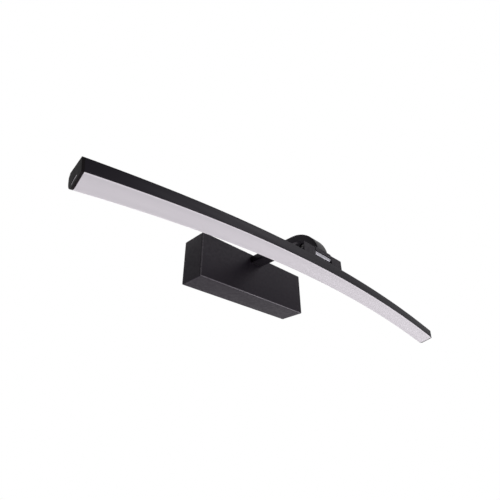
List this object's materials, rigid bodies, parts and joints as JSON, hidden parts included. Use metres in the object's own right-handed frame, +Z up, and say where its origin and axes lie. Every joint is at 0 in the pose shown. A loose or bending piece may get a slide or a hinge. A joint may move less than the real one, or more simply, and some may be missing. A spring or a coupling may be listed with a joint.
{
  "type": "picture light",
  "caption": "Wall-mounted LED picture light: a small wall box, a flat arm bent down at its end and a long arched lamp bar that tilts on a steel pin.",
  "frame": {"origin": "middle of the wall box's back face, on the wall", "axes": "+X along the lamp bar, to the right for a viewer facing the wall; +Y into the wall; +Z up"},
  "size_m": [0.4452, 0.1166, 0.0718],
  "materials": {
    "black_coat": "fine-texture black powder coat",
    "black_aluminium": "satin black coating",
    "zinc_steel": "bright zinc plating",
    "satin_steel": "satin",
    "black_steel": "black zinc plating",
    "brass": "satin",
    "rubber": "matt",
    "white_plastic": "matt",
    "black_plastic": "matt",
    "opal_plastic": "satin opal, light scattering",
    "green_pvc": "satin",
    "brown_pvc": "satin",
    "red_pvc": "satin",
    "grey_pad": "matt",
    "led_yellow": "satin"
  },
  "bodies": {
    "wall_base": {"wall_plate": "zinc_steel", "cable_grommet": "rubber", "box_cover": "black_coat", "cover_screws": "black_steel", "terminal_block": "white_plastic", "terminal_screws": "zinc_steel", "earth_screw": "brass", "earth_lead": "green_pvc", "supply_leads": "brown_pvc", "driver_case": "white_plastic", "driver_clip": "zinc_steel", "arm_tube": "black_coat", "arm_foot": "zinc_steel", "foot_screws": "zinc_steel", "arm_bush": "black_plastic", "arm_leads": "red_pvc", "arm_yoke": "black_coat", "hinge_barrel": "satin_steel", "friction_washers": "zinc_steel"},
    "head": {"hinge_pin": "zinc_steel", "hinge_nut": "zinc_steel", "saddle": "black_coat", "saddle_screws": "zinc_steel", "saddle_grommet": "rubber", "head_leads": "red_pvc", "bar_profile": "black_aluminium", "thermal_tape": "grey_pad", "led_board": "white_plastic", "led_chips": "led_yellow", "board_terminal": "white_plastic", "diffuser": "opal_plastic", "left_end_cap": "black_plastic", "right_end_cap": "black_plastic"}
  },
  "joints": [
    {"name": "head_tilt", "type": "hinge", "parent": "wall_base", "child": "head", "pos_m": [0, -0.113, -0.009], "axis": [1, 0, 0], "range_deg": [-30, 75]}
  ]
}
